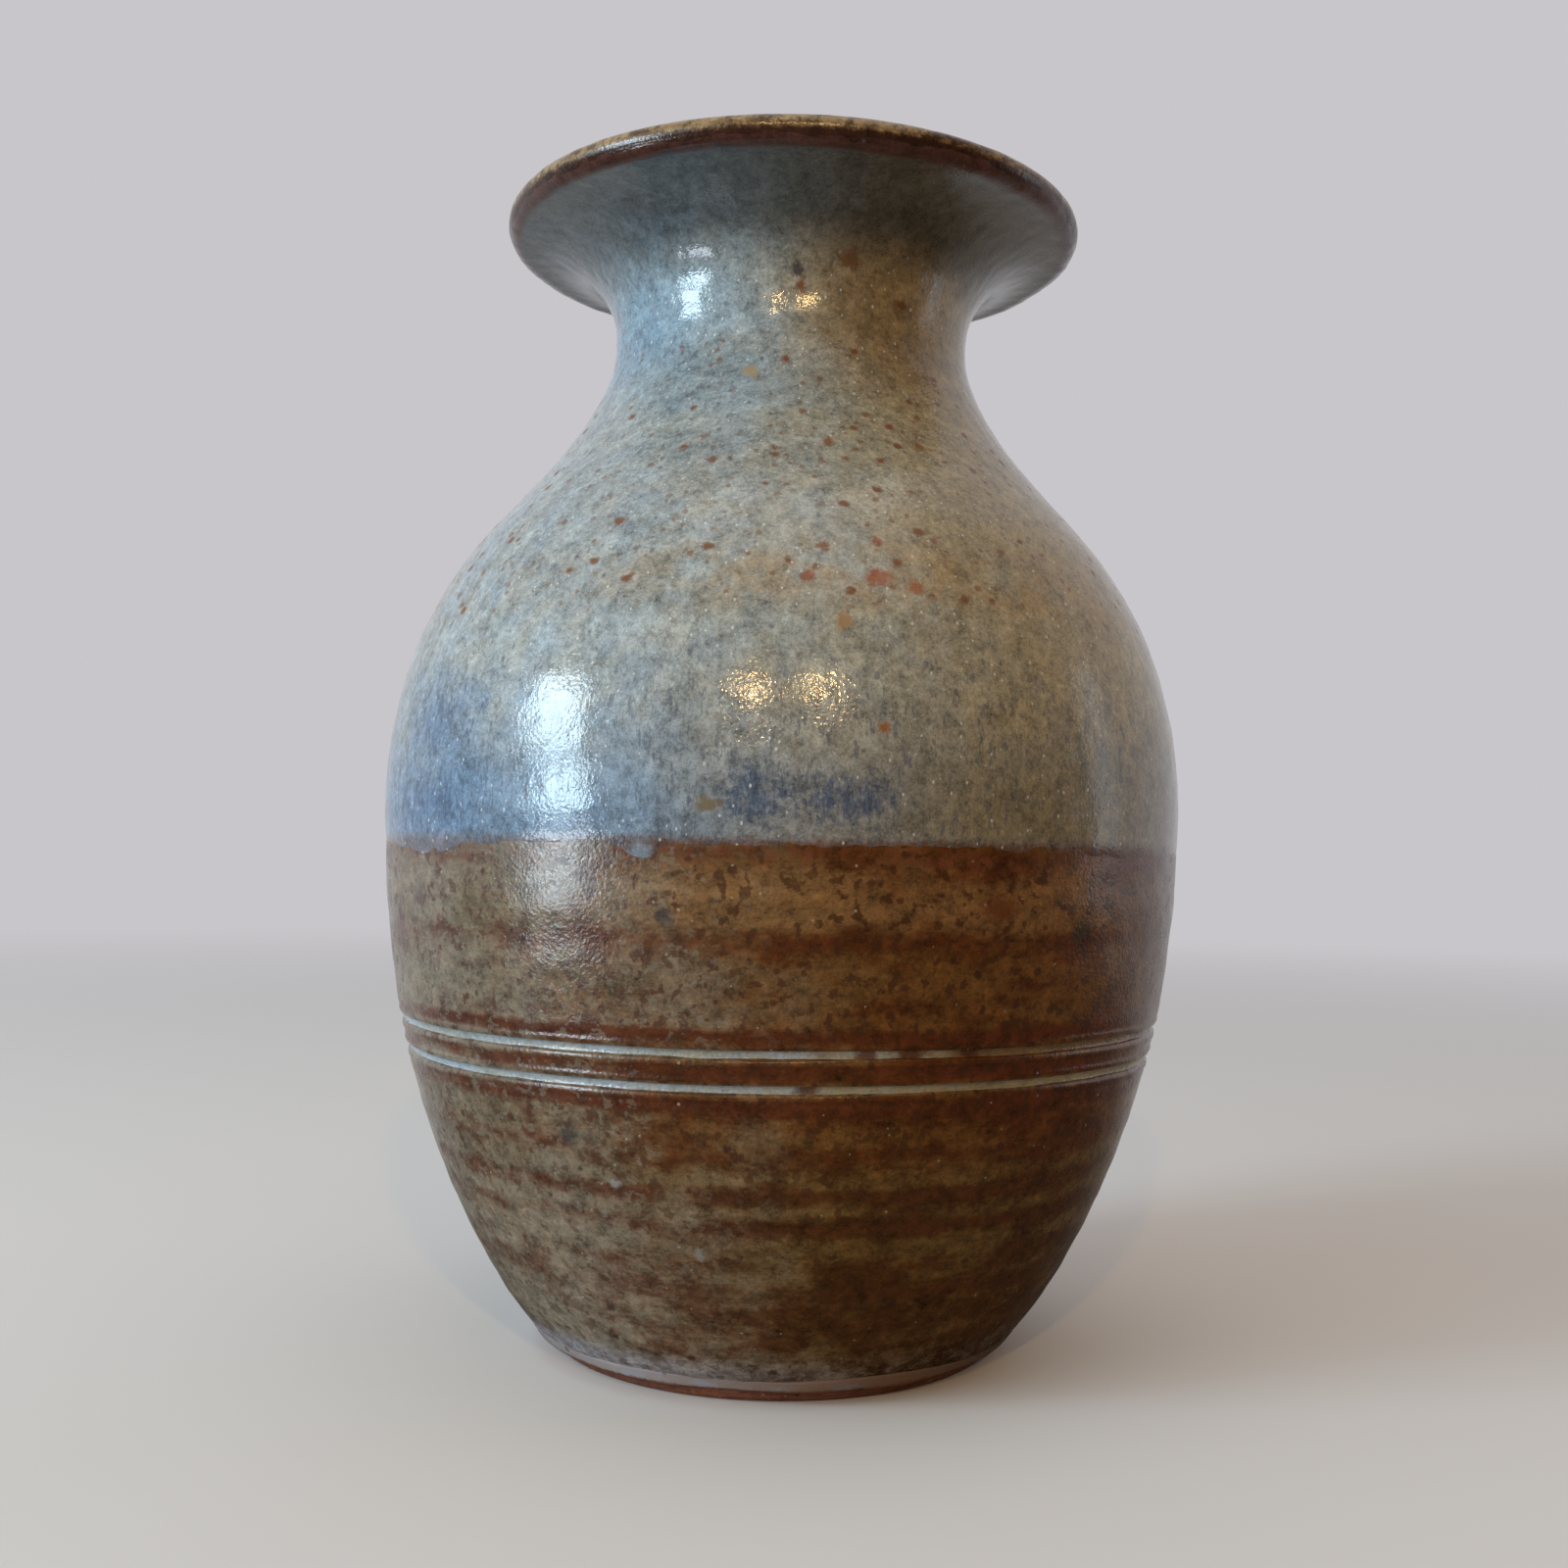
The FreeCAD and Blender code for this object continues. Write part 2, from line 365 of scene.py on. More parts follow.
def groove_bed(s, a):
    """Depth of the same grooves in the clay under the coat."""
    bed = 0
    for k, height in enumerate(GROOVES.values()):
        off = groove_off(s, a, k, height)
        bed = bed + BED_DEPTH * np.clip((BED_HALF - off) / BED_WALL, 0, 1)
    return bed


def build_brown():
    """First coat: from above the foot, up the wall and over the lip, with the grooves."""
    low, high = station(2.35), S_CREST + 2.4
    g0, g1 = station(GROOVES["groove_glaze_lower"]), station(GROOVES["groove_glaze_upper"])
    rows = steps(
        (low, g0 - 1.6, 0.56), (g0 - 1.6, g1 + 1.6, 0.13), (g1 + 1.6, station(51.5), 0.56),
        (station(51.5), station(111.5), 4.5), (station(111.5), S_CREST - 4.0, 0.7),
        (S_CREST - 4.0, high, 0.22),
    )

    def proud(s, a):
        thin = 0.30 * np.clip((s - (high - 1.6)) / 1.6, 0, 1)
        start = 0.16 * np.clip((low + 0.8 - s) / 0.8, 0, 1)
        return BASE_COAT - groove_dip(s, a) - thin - start + 0.012 * ripple(21, 12, 60, 2.5, a, s)

    def back(s, a):
        return -0.01 - groove_bed(s, a)

    whole = high - low
    behind = np.r_[
        np.linspace(1, (g1 + 1.2 - low) / whole, 16),
        np.linspace((g1 + 1.0 - low) / whole, (g0 - 1.0 - low) / whole, 19),
        np.linspace((g0 - 1.2 - low) / whole, 0, 10),
    ]
    return coat(
        "brown_glaze_coat", lambda a: rows[:, None] + 0 * a, proud, back, behind, BROWN_COLUMNS
    )


def build_blue():
    """Second coat: from the wavering overlap line up to just under the lip."""
    low_far = S_CREST - 1.7
    f = steps((0, 0.035, 0.0028), (0.035, 0.965, 0.0062), (0.965, 1.0, 0.005))

    def stations(a):
        low = np.array([station(z) for z in edge_height(a)])
        top = low_far + 0.16 * ripple(31, 8, 17, 0, a, 0) + 0.06 * ripple(32, 12, 90, 0, a, 0)
        return low + (top - low) * f[:, None]

    first, *_, last = stations(round_the_vase(COLUMNS))

    def proud(s, a):
        up = np.clip((s - first) / 0.4, 0, 1)
        edge = 0.05 * np.sqrt(np.clip(1 - (1 - up) ** 2, 0, 1))
        thick = 0.95 * (1 - np.exp(-np.clip(s - first, 0, None) / 3.0))
        down = np.clip((last - s) / 1.6, 0, 1)
        down = down * down * (3 - 2 * down)
        fine = 0.012 * ripple(33, 14, 70, 2.5, a, s) * up
        return BASE_COAT - 0.04 + (TOP_COAT + 0.04) * (edge + thick) * down + fine

    return coat(
        "blue_glaze_coat", stations, proud, lambda s, a: 0.2 + 0 * a, np.linspace(1, 0, 17)
    )


def build_liner():
    """The coat inside: from the floor up to the lip, and back down against the clay."""
    a = round_the_vase(LINER_COLUMNS)
    start = S_CREST + 1.5
    rows = steps((S_END, S_END - 14, 1.2), (S_END - 14, start + 12, 1.1), (start + 12, start, 0.4))
    rings = [np.array([0, 0, (FLOOR_HEIGHT + BASE_COAT) * MM])]
    for s in rows[1:]:
        thin = 0.30 * max(0.0, (start + 1.2 - s) / 1.2)
        proud = BASE_COAT - thin + 0.01 * ripple(41, 9, 30, 1.0, a, s)
        rings.append(placed(s + 0 * a, a, proud))
    for s in steps((start, S_END, 5.0))[:-1]:
        rings.append(placed(s + 0 * a, a, np.full_like(a, -0.02)))
    rings.append(np.array([0, 0, (FLOOR_HEIGHT - 0.02) * MM]))
    return mesh_of("liner_glaze_coat", rings[::-1])


def build_pool(name, height, seed):
    """Pale glaze lying in a groove, with an uneven dished top."""
    a = round_the_vase(COLUMNS)
    mid = station(height) + 0.06 * np.sin(a * 2 + (height > 32)) + 0.03 * np.sin(9 * a)
    level = 0.11 + 0.035 * ripple(seed, 10, 40, 0, a, 0) + 0.02 * ripple(seed + 1, 16, 150, 0, a, 0)
    rings = []
    for across in np.linspace(-1, 1, 13):
        lift = level - 0.10 * (1 - across**2)
        rings.append(placed(mid + across * POOL_HALF, a, lift))
    for across in (0.8, 0, -0.8):
        rings.append(placed(mid + across * POOL_BOTTOM_HALF, a, np.full_like(a, POOL_BOTTOM)))
    return mesh_of(name, rings)


def build_foot_bead():
    """The thick pale edge where the glaze ran down and stopped above the bare foot."""
    a = round_the_vase(COLUMNS)
    low = station(1.45) + 0.16 * ripple(51, 8, 14, 0, a, 0) + 0.05 * ripple(52, 12, 80, 0, a, 0)
    high = station(3.3) + 0.25 * ripple(53, 8, 12, 0, a, 0)
    fat = 0.50 + 0.08 * ripple(54, 8, 15, 0, a, 0)
    rings = []
    for f in np.linspace(0, 1, 26):
        shape = math.sqrt(max(0.0, 1 - (1 - min(f / 0.3, 1)) ** 2)) * (1 - 0.42 * f**1.5)
        sink = 0.24 * max(0.0, (f - 0.72) / 0.28) ** 1.5
        rings.append(placed(low + (high - low) * f, a, fat * shape - sink))
    for f in (0.95, 0.6, 0.25, 0.02):
        rings.append(placed(low + (high - low) * f, a, np.full_like(a, -0.05)))
    return mesh_of("foot_glaze_bead", rings)


# ---------------------------------------------------------------- material nodes

def rgb(r, g, b):
    """Linear colour of an sRGB triple from 0 to 255."""
    def linear(v):
        v /= 255
        return v / 12.92 if v <= 0.04045 else ((v + 0.055) / 1.055) ** 2.4
    return (linear(r), linear(g), linear(b), 1.0)


class Tree:
    """Adds and wires the nodes of a material or world."""

    def __init__(self, tree):
        self.nodes = tree.nodes
        self.links = tree.links

    def new(self, kind):
        return self.nodes.new("ShaderNode" + kind)

    def feed(self, socket, value):
        if isinstance(value, bpy.types.NodeSocket):
            self.links.new(value, socket)
        else:
            socket.default_value = value

    def calc(self, op, a, b=0.0):
        node = self.new("Math")
        node.operation = op
        self.feed(node.inputs[0], a)
        self.feed(node.inputs[1], b)
        return node.outputs[0]

    def step(self, value, low, high, top=1.0):
        """Smooth step: 0 below low and top above high, or the other way if high is less."""
        node = self.new("MapRange")
        node.interpolation_type = "SMOOTHSTEP"
        flip = high < low
        self.feed(node.inputs["Value"], value)
        node.inputs["From Min"].default_value = high if flip else low
        node.inputs["From Max"].default_value = low if flip else high
        node.inputs["To Min"].default_value = top if flip else 0.0
        node.inputs["To Max"].default_value = 0.0 if flip else top
        return node.outputs[0]

    def mix(self, amount, a, b, mode="MIX"):
        """Colour a where the amount is 0 and b where it is 1."""
        node = self.new("Mix")
        node.data_type = "RGBA"
        node.blend_type = mode
        self.feed(node.inputs[0], amount)
        self.feed(node.inputs[6], a)
        self.feed(node.inputs[7], b)
        return node.outputs[2]

    def mix_shaders(self, amount, a, b):
        node = self.new("MixShader")
        for socket, value in zip(node.inputs, (amount, a, b)):
            self.links.new(value, socket)
        return node.outputs[0]

    def xyz(self, place):
        node = self.new("SeparateXYZ")
        self.links.new(place, node.inputs[0])
        return node.outputs


class Shade(Tree):
    """Nodes of one glaze or clay. Its coordinates are millimetres on the vase."""

    def __init__(self, name):
        self.mat = bpy.data.materials.new(name)
        self.mat.use_nodes = True
        super().__init__(self.mat.node_tree)
        self.shader = self.nodes["Principled BSDF"]
        self.metres = self.new("TexCoord").outputs["Object"]
        x, y, self.z = self.xyz(self.spread((MM, MM, MM), 0.0))
        back = self.calc("MULTIPLY", y, -1)
        self.az = self.calc("MULTIPLY", self.calc("ARCTAN2", x, back), 180 / math.pi)
        self.r = self.calc("SQRT", self.plus(self.both(x, x), self.both(back, back)))
        self.ragged = self.noise(0.7, 3, seed=7, rough=0.75)

    def spread(self, size, seed):
        """Coordinates in units of size (metres along x, y, z), moved by a seed."""
        node = self.new("VectorMath")
        node.operation = "MULTIPLY_ADD"
        self.links.new(self.metres, node.inputs[0])
        node.inputs[1].default_value = [1 / k for k in size]
        node.inputs[2].default_value = (seed * 3.7, seed * 5.3, seed * 2.9)
        return node.outputs[0]

    def noise(self, size, detail=2.0, stretch=(1, 1, 1), seed=0.0, rough=0.55):
        """Noise from 0 to 1 whose blobs are about size millimetres, times stretch."""
        node = self.new("TexNoise")
        units = [size * k * MM for k in stretch]
        self.links.new(self.spread(units, seed), node.inputs["Vector"])
        node.inputs["Scale"].default_value = 1.0
        node.inputs["Detail"].default_value = detail
        node.inputs["Roughness"].default_value = rough
        return node.outputs["Fac"]

    def gain(self, value, amount):
        return self.calc("MULTIPLY", value, amount)

    def both(self, *values):
        out = values[0]
        for value in values[1:]:
            out = self.calc("MULTIPLY", out, value)
        return out

    def plus(self, *values):
        out = values[0]
        for value in values[1:]:
            out = self.calc("ADD", out, value)
        return out

    def between(self, value, low, high, soft, top):
        return self.both(
            self.step(value, low - soft, low + soft, top), self.step(value, high + soft, high - soft)
        )

    def band(self, low, high, soft, top=1.0):
        """Top between two heights, with soft edges."""
        return self.between(self.z, low, high, soft, top)

    def sector(self, low, high, soft, top=1.0):
        """Top between two azimuths, with soft edges."""
        return self.between(self.az, low, high, soft, top)

    def blob(self, az, z, wide, tall, rag=0.9, top=1.0):
        """Ragged soft patch centred on an azimuth and height."""
        du = self.gain(self.calc("SUBTRACT", self.az, az), 1 / wide)
        dv = self.gain(self.calc("SUBTRACT", self.z, z), 1 / tall)
        d = self.calc("SQRT", self.plus(self.both(du, du), self.both(dv, dv)))
        edge = self.gain(self.calc("SUBTRACT", self.ragged, 0.5), rag * 2)
        return self.step(self.plus(d, edge), 1.2, 0.3, top)

    def marked(self, colour, top, marks):
        """Single marks on a colour, each (azimuth, height, wide, tall, sRGB)."""
        for az, z, wide, tall, mark in marks:
            colour = self.mix(self.blob(az, z, wide, tall, 1.1, top), colour, rgb(*mark))
        return colour

    def vary(self, colour, value, low, high, swing=0.16):
        """Multiply a colour by low to high as a noise swings about its middle."""
        node = self.new("MapRange")
        self.feed(node.inputs["Value"], value)
        node.clamp = False
        node.inputs["From Min"].default_value = 0.5 - swing
        node.inputs["From Max"].default_value = 0.5 + swing
        node.inputs["To Min"].default_value = low
        node.inputs["To Max"].default_value = high
        return self.mix(1.0, colour, node.outputs[0], "MULTIPLY")

    def specks(self, size, share, radius, seed, stretch=(1, 1, 1), top=1.0):
        """Scattered ragged specks: a share of the cells hold one, of about radius cells."""
        node = self.new("TexVoronoi")
        units = [size * k * MM for k in stretch]
        self.links.new(self.spread(units, seed), node.inputs["Vector"])
        node.inputs["Scale"].default_value = 1.0
        pick = self.new("SeparateColor")
        self.links.new(node.outputs["Color"], pick.inputs[0])
        chosen = self.step(pick.outputs[0], share + 0.01, share - 0.01)
        size_of = self.gain(pick.outputs[1], -0.5 * radius)
        edge = self.gain(self.calc("SUBTRACT", self.ragged, 0.5), 1.6 * radius)
        distance = self.calc("SUBTRACT", self.plus(node.outputs["Distance"], edge), size_of)
        return self.both(chosen, self.step(distance, radius * 1.6, radius * 0.8, top))

    def warm_lamplit_side(self, low, high, waver):
        """1 on the front right, falling to 0 on the left and round the back.

        The glaze is warmer there, and part of that warmth is painted light: warm lamp light on the right,
        cool window sheen on the left.
        """
        turn = self.plus(self.az, self.gain(self.calc("SUBTRACT", waver, 0.5), 70))
        return self.both(
            self.step(turn, low, high), self.step(self.calc("ABSOLUTE", turn), 178, 105)
        )

    def finish(self, colour, roughness, *heights, distance=0.00012):
        """Wire up the shader. The heights make a bump that is distance metres deep."""
        self.feed(self.shader.inputs["Base Color"], colour)
        self.feed(self.shader.inputs["Roughness"], roughness)
        node = self.new("Bump")
        node.inputs["Distance"].default_value = distance
        self.feed(node.inputs["Height"], self.plus(*heights))
        self.links.new(node.outputs[0], self.shader.inputs["Normal"])
        return self.mat

    def pitting(self, seed, broad=0.16, small=0.2):
        """Height of a fired glaze's surface: soft orange peel with finer pits."""
        return self.plus(
            self.gain(self.noise(1.1, 2, seed=seed), broad),
            self.gain(self.noise(0.33, 1, seed=seed + 1), small),
        )


# Blue patches near the second coat's lower edge: azimuth, height, wide, tall, amount, sRGB.
BLUE_PATCHES = (
    (-53, 53.6, 13, 3.4, 0.75, (64, 92, 130)), (-51, 62, 9, 4.2, 0.6, (64, 92, 130)),
    (-3, 54.6, 5, 2.8, 0.85, (64, 79, 106)), (8, 54.4, 6, 2.6, 0.9, (64, 79, 106)),
    (-24, 52.6, 9, 2.0, 0.35, (64, 92, 130)), (44, 57, 6, 4.5, 0.5, (74, 88, 96)),
    (112, 55, 22, 3.2, 0.7, (64, 92, 130)), (163, 54, 18, 3.0, 0.7, (64, 92, 130)),
    (-122, 58, 24, 4.4, 0.6, (64, 92, 130)),
)

# Single marks: azimuth, height, wide, tall, sRGB.
BLUE_MARKS = (
    (2.6, 105.7, 2.4, 0.9, (60, 58, 62)), (3.4, 104.2, 1.6, 0.9, (110, 64, 40)),
    (17, 107, 4, 1.1, (98, 68, 40)), (36, 103.5, 2.6, 0.7, (92, 58, 40)),
    (-9.5, 95.2, 2.8, 0.8, (156, 138, 104)), (12, 60.4, 0.8, 0.6, (140, 88, 44)),
    (8, 87.2, 1.4, 0.6, (124, 84, 50)), (22.6, 89.7, 1.3, 0.6, (116, 56, 34)),
    (-8.6, 53.8, 2.2, 0.8, (112, 98, 72)), (12.5, 73.3, 2.3, 1.0, (142, 74, 34)),
    (3, 73.2, 1.0, 0.8, (130, 70, 38)), (17.4, 72.6, 1.3, 0.8, (142, 80, 38)),
    (7.5, 69.3, 1.2, 1.0, (152, 122, 84)), (-1, 96.6, 1.2, 0.5, (120, 66, 46)),
    (13, 76.8, 1.0, 0.5, (128, 74, 46)), (28, 87.6, 1.6, 0.6, (124, 84, 54)),
)


def blue_ground(m, grain, tint, large, side):
    """Grey-blue on the left to olive on the right, with a tan band round the shoulder."""
    colour = m.mix(m.step(tint, 0.32, 0.68), rgb(142, 154, 162), rgb(149, 152, 149))
    # warm right and grey-blue left: partly the glaze's colours, partly painted light, warm lamp light on
    # the right and cool window sheen on the left
    colour = m.mix(m.gain(side, 0.85), colour, rgb(150, 136, 101))
    layers = m.noise(3.4, 2, stretch=(3, 3, 1), seed=6, rough=0.6)
    colour = m.vary(colour, layers, 0.93, 1.07)
    # neck and shoulder: bluer to the left, olive brown to the right; partly the glaze and partly painted
    # light, cool window light on the left and warm lamp light on the right
    colour = m.mix(m.blob(-52, 102, 42, 8, 0.5, 0.8), colour, rgb(112, 140, 160))
    colour = m.mix(m.blob(30, 103, 34, 12, 0.5, 0.75), colour, rgb(128, 107, 74))
    colour = m.mix(m.blob(-24, 94.5, 34, 5, 0.7, 0.45), colour, rgb(116, 134, 146))
    # tan band round the shoulder
    front = m.plus(m.sector(-12, 66, 20, 0.7), 0.3)
    tan = m.both(m.band(70.6, 76.6, 1.8), front, m.step(m.plus(tint, m.gain(large, 0.5)), 0.55, 0.85))
    colour = m.mix(m.gain(tan, 0.5), colour, rgb(146, 124, 90))
    orange = m.both(m.band(71.5, 76.5, 1.4), front, m.step(m.plus(grain, tint), 1.0, 1.2))
    return m.mix(m.gain(orange, 0.16), colour, rgb(128, 92, 60))


def blue_run(m, colour, tint, large, drawn):
    """The coat ran thicker and bluer towards its lower edge, which is worn to brown."""
    fall = m.plus(m.z, m.gain(tint, 10), m.gain(large, 12))
    deep = m.step(fall, 79, 64)
    hue = m.mix(m.step(m.plus(m.az, m.gain(large, 20)), -22, 22), rgb(96, 125, 155), rgb(121, 119, 116))
    hue = m.mix(m.gain(m.both(m.sector(16, 48, 10), m.step(m.z, 66, 52)), 0.8), hue, rgb(110, 100, 74))
    far = m.both(m.step(m.calc("ABSOLUTE", m.az), 70, 110), m.step(large, 0.4, 0.6))
    hue = m.mix(m.gain(far, 0.7), hue, rgb(98, 112, 128))
    colour = m.mix(m.gain(deep, 0.78), colour, hue)
    for az, z, wide, tall, amount, blue in BLUE_PATCHES:
        patch = m.both(m.blob(az, z, wide, tall, 1.5, amount), m.step(drawn, 0.28, 0.60))
        colour = m.mix(patch, colour, rgb(*blue))
    colour = m.mix(m.step(m.plus(m.z, m.gain(drawn, 0.8)), 52.2, 51.0, 0.5), colour, rgb(122, 130, 140))
    worn = m.step(m.plus(m.z, m.gain(m.ragged, 1.6)), 52.5, 51.2)
    drip = m.blob(-16.4, 49.6, 2.2, 1.3, 0.5)
    worn = m.both(worn, m.plus(m.step(m.az, -40, -10, 0.4), 0.5), m.calc("SUBTRACT", 1, drip))
    return m.mix(worn, colour, rgb(92, 60, 42))


def blue_lip(m, colour, grain, tint, side):
    """The flare is thinner and browner towards the lip, and darkened with painted shade under it; the
    lip's dark brown band is partly painted shade under its curve.
    """
    # flare: glaze thinning to brown, darkened with painted shade under the flare, and tinted cool on the
    # left and warm on the right as painted light
    flare = m.step(m.plus(m.z, m.gain(tint, 3)), 106, 112, 0.8)
    colour = m.mix(flare, colour, m.mix(side, rgb(74, 82, 88), rgb(50, 43, 33)))
    # brown lip: the glaze breaking over the edge, darkened with painted shade where the lip curves under
    lip = m.both(m.step(m.plus(m.r, m.gain(grain, 2.2)), 29.25, 29.9), m.step(m.z, 110, 111))
    return m.mix(lip, colour, rgb(76, 48, 42))


def blue_specks(m, colour, grain, tint, drawn):
    """Grain, streaks, rust, pale crystals partly painted as glints, and single marks. Returns the rust
    too.
    """
    colour = m.vary(colour, grain, 0.42, 1.56)
    streaks = m.both(m.step(drawn, 0.54, 0.64), m.band(49, 66, 4, 0.6))
    colour = m.mix(streaks, colour, rgb(76, 84, 98))
    colour = m.mix(m.specks(1.3, 0.45, 0.16, 23, (1, 1, 1.5), 0.6), colour, rgb(82, 90, 98))
    rows = m.plus(m.band(71, 80, 2.5, 0.55), m.band(80, 97, 3, 0.42), m.band(97, 106, 3, 0.2))
    rust = m.plus(m.specks(2.1, 0.95, 0.19, 25, (1.15, 1.15, 1)), m.specks(1.3, 0.5, 0.2, 26, top=0.7))
    rust = m.both(m.calc("MINIMUM", rust, 1), m.step(m.plus(rows, tint), 0.66, 0.9))
    colour = m.mix(m.both(rust, m.step(tint, 0.26, 0.56, 0.95)), colour, rgb(112, 68, 36))
    colour = m.mix(m.specks(9, 0.35, 0.05, 27, top=0.75), colour, rgb(104, 62, 36))
    # pale specks: the glaze's crystals, partly painted glints of light
    crystals_and_glints = m.both(m.specks(0.75, 0.6, 0.13, 21, (1, 1, 1.5), 0.75), m.step(m.z, 110, 104))
    colour = m.mix(crystals_and_glints, colour, rgb(204, 208, 206))
    return m.marked(colour, 0.85, BLUE_MARKS), rust


def blue_glaze():
    m = Shade("blue_grey_glaze")
    grain = m.noise(2.0, 5, seed=1, rough=1.0)
    tint = m.noise(4.5, 4, seed=2, rough=0.7)
    large = m.noise(19, 2, seed=3)
    drawn = m.noise(0.8, 3, stretch=(1, 1, 3), seed=4, rough=0.85)
    side = m.warm_lamplit_side(-30, 52, m.plus(m.gain(tint, 0.3), m.gain(large, 0.7)))
    side = m.plus(side, m.sector(128, 172, 25, 0.5))
    colour = blue_ground(m, grain, tint, large, side)
    colour = blue_run(m, colour, tint, large, drawn)
    colour = blue_lip(m, colour, grain, tint, side)
    colour, rust = blue_specks(m, colour, grain, tint, drawn)
    rough = m.plus(0.09, m.gain(tint, 0.10), m.gain(rust, 0.2))
    low = m.gain(m.both(drawn, m.step(m.z, 70, 62)), 0.12)
    return m.finish(colour, rough, m.pitting(41, 0.13, 0.19), low, distance=0.00012)


BROWN_MARKS = (
    (27.4, 45.6, 3.0, 1.5, (92, 46, 18)), (41, 43.4, 2.0, 1.4, (52, 48, 34)),
    (62, 49.4, 2.2, 1.0, (60, 34, 28)), (-54.5, 45.3, 2.6, 1.2, (84, 62, 58)),
    (-22.7, 21.6, 1.1, 0.5, (140, 142, 140)), (-11, 15.6, 1.0, 0.6, (132, 134, 130)),
    (-13.5, 44.6, 1.5, 0.9, (60, 60, 62)), (-29, 25.6, 2.0, 1.0, (58, 56, 56)),
)


def brown_ground(m, grain, streak, blotch, large, side):
    """Khaki and rust mottling in turned bands, chestnut and olive on the right.

    Returns the colour and the share of rust in the mottling.
    """
    rings = m.plus(
        m.band(41.6, 43.4, 0.9, 0.5), m.band(34.2, 35.3, 0.4), m.band(28.2, 29.6, 0.5),
        m.band(31.2, 32.4, 0.3), m.band(24.0, 25.4, 0.8, 0.4), m.band(20.6, 21.6, 0.6, 0.6),
        m.band(17.6, 18.6, 0.6, 0.6), m.band(11.2, 12.4, 0.8, 0.3),
    )
    light = m.plus(
        m.band(22.0, 23.2, 0.6), m.band(19.0, 20.0, 0.5), m.band(15.2, 16.8, 0.7),
        m.band(36.4, 40.4, 1.0, 0.5), m.band(43.6, 48.0, 1.0, 0.6),
    )
    share = m.plus(
        m.gain(streak, 0.5), m.gain(blotch, 1.0), m.gain(side, 0.2),
        m.gain(rings, 0.20), m.gain(light, -0.14),
    )
    khaki = m.mix(m.step(large, 0.35, 0.62), rgb(115, 104, 90), rgb(108, 93, 74))
    rust = m.mix(m.step(streak, 0.36, 0.6), rgb(92, 55, 40), rgb(80, 43, 29))
    colour = m.mix(m.step(share, 0.66, 1.04), khaki, rust)
    # right side chestnut and olive, partly the glaze's colour and partly painted warm lamp light; the
    # khaki left is partly painted cool window sheen
    right = m.mix(m.step(share, 0.8, 1.1), rgb(100, 66, 24), rgb(80, 41, 8))
    olive = m.mix(m.step(share, 0.72, 1.05), rgb(100, 76, 36), rgb(72, 44, 14))
    right = m.mix(m.step(m.plus(m.z, m.gain(large, 6)), 31, 24), right, olive)
    colour = m.mix(m.gain(side, 0.9), colour, right)
    rings = m.plus(rings, m.band(48.6, 51, 0.4, 0.5))
    broken = m.both(rings, m.step(m.plus(grain, streak), 0.85, 1.15, 0.55))
    colour = m.mix(broken, colour, rgb(80, 38, 22))
    fair = m.both(m.band(43.4, 49.4, 0.9), m.sector(-16, 42, 12, 0.6), m.step(share, 1.15, 0.85))
    colour = m.mix(fair, colour, rgb(124, 92, 58))
    under = m.both(m.band(48.9, 50.4, 0.4), m.step(grain, 0.48, 0.60, 0.75))
    colour = m.mix(under, colour, rgb(88, 48, 32))
    return colour, share


def brown_lip(m, colour, grain, streak):
    """The lip, where the glaze breaks to golden brown over a dark edge; the golden top is partly a painted
    highlight and the dark edge partly painted shade under the lip.
    """
    lip_break_highlight_and_shade = m.mix(m.step(m.plus(grain, streak), 0.86, 1.14), rgb(92, 68, 48), rgb(136, 114, 82))
    # dark below the crest: the glaze break, darkened with painted shade where the lip curves under
    lip_break_highlight_and_shade = m.mix(m.step(m.plus(m.z, m.gain(grain, 0.9)), 115.5, 114.9), lip_break_highlight_and_shade, rgb(58, 34, 24))
    return m.mix(m.step(m.z, 110.5, 111.5), colour, lip_break_highlight_and_shade)


def brown_low(m, colour, grain, blotch, side, share):
    """Paler low on the left, above the foot and beside the grooves."""
    turn = m.plus(m.az, m.gain(blotch, 30))
    paler_low_left = m.both(m.step(m.plus(m.z, m.gain(blotch, 8)), 30, 16), m.step(turn, 25, -25))
    colour = m.mix(m.both(paler_low_left, m.plus(m.gain(blotch, 0.6), 0.3)), colour, rgb(108, 86, 72))
    colour = m.mix(m.both(paler_low_left, m.step(share, 0.98, 0.66, 0.7)), colour, rgb(134, 124, 108))
    foot = m.both(m.step(m.plus(m.z, m.gain(blotch, 4)), 8.5, 4.5), m.step(grain, 0.4, 0.6, 0.5))
    colour = m.mix(foot, colour, rgb(118, 114, 104))
    # pale lavender above the foot bead on the left: partly the bead's glaze, partly painted light lifting
    # the shade in the crease above the bead
    hem_and_painted_light = m.both(m.step(m.plus(m.z, m.gain(blotch, 2.4)), 6.6, 4.6), m.step(turn, 40, -30, 0.85))
    colour = m.mix(hem_and_painted_light, colour, rgb(150, 146, 152))
    banks = m.plus(m.band(30.0, 30.85, 0.12), m.both(m.band(32.95, 33.7, 0.12), m.step(m.az, 10, -20)))
    return m.mix(m.gain(banks, 0.55), colour, m.mix(side, rgb(138, 138, 132), rgb(124, 106, 72)))


